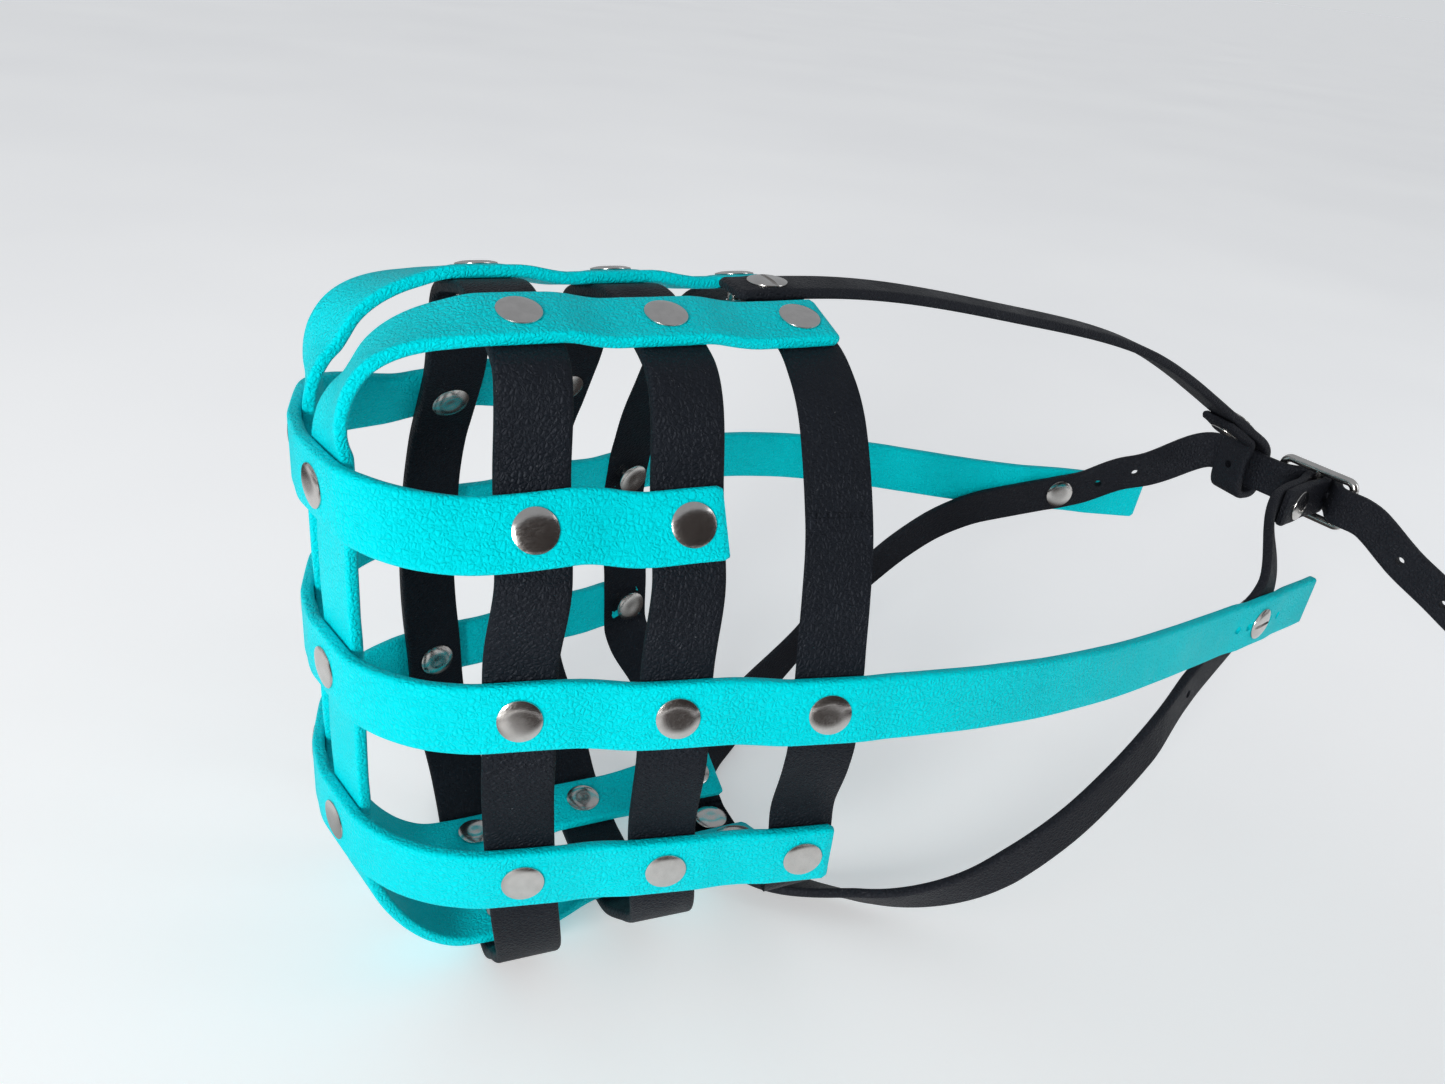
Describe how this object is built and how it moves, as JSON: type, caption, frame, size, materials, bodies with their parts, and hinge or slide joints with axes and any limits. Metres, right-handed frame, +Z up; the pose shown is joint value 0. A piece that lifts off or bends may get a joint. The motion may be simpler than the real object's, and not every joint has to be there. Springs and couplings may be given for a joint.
{
  "type": "basket muzzle",
  "caption": "Basket muzzle of riveted coated webbing: crossed teal and black straps round the snout, with a forehead strap and a buckled neck strap.",
  "frame": {"origin": "on the rest plane, in the middle of the throat rivet's lower cap", "axes": "+X from the nose to the neck, +Y to the dog's right, +Z up"},
  "size_m": [0.2734, 0.142, 0.1435],
  "materials": {
    "teal_webbing": "satin coated webbing with a fine leather grain",
    "black_webbing": "matte coated webbing with a fine leather grain",
    "nickel": "polished nickel plate"
  },
  "bodies": {
    "muzzle": {"front_ring": "black_webbing", "middle_ring": "black_webbing", "rear_ring": "black_webbing", "left_nose_strap": "teal_webbing", "right_nose_strap": "teal_webbing", "upper_side_strap": "teal_webbing", "cheek_strap": "teal_webbing", "lower_side_strap": "teal_webbing", "neck_strap": "black_webbing", "front_ring_rivets": "nickel", "front_ring_rivet_caps": "nickel", "middle_ring_rivets": "nickel", "middle_ring_rivet_caps": "nickel", "rear_ring_rivets": "nickel", "rear_ring_rivet_caps": "nickel", "nose_rivets": "nickel", "nose_rivet_caps": "nickel", "throat_rivet": "nickel", "throat_rivet_cap": "nickel", "fold_rivet": "nickel", "fold_rivet_cap": "nickel", "forehead_screw_post": "nickel", "left_cheek_screw_post": "nickel", "right_cheek_screw_post": "nickel"},
    "forehead": {"forehead_strap": "black_webbing", "loop_rivet": "nickel", "loop_rivet_cap": "nickel"},
    "buckle": {"buckle_frame": "nickel"},
    "tongue": {"buckle_tongue": "nickel"},
    "tail": {"neck_strap_tail": "black_webbing"},
    "forehead_turnscrew": {"forehead_screw": "nickel"},
    "left_turnscrew": {"left_cheek_screw": "nickel"},
    "right_turnscrew": {"right_cheek_screw": "nickel"}
  },
  "joints": [
    {"name": "forehead_swing", "type": "hinge", "parent": "muzzle", "child": "forehead", "pos_m": [-0.0025, 0, 0.1393], "axis": [0, 0, 1], "range_deg": [-1, 1]},
    {"name": "buckle_rock", "type": "hinge", "parent": "muzzle", "child": "buckle", "pos_m": [0.1615, -0.0142, 0.086], "axis": [0, 0, 1], "range_deg": [-1, 1]},
    {"name": "tongue_lift", "type": "hinge", "parent": "buckle", "child": "tongue", "pos_m": [0.1615, -0.0142, 0.086], "axis": [0, 0, -1], "range_deg": [0, 80]},
    {"name": "tail_bend", "type": "hinge", "parent": "muzzle", "child": "tail", "pos_m": [0.16116, -0.02726, 0.086], "axis": [0, 0, 1], "range_deg": [-18, 18]},
    {"name": "forehead_screw_turn", "type": "hinge", "parent": "muzzle", "child": "forehead_turnscrew", "pos_m": [-0.0025, 0, 0.1393], "axis": [0, 0, 1], "continuous": true},
    {"name": "left_cheek_screw_turn", "type": "hinge", "parent": "muzzle", "child": "left_turnscrew", "pos_m": [0.122, -0.037, 0.0665], "axis": [0.2419, -0.9703, 0], "continuous": true},
    {"name": "right_cheek_screw_turn", "type": "hinge", "parent": "muzzle", "child": "right_turnscrew", "pos_m": [0.122, 0.037, 0.0665], "axis": [0.2419, 0.9703, 0], "continuous": true}
  ]
}
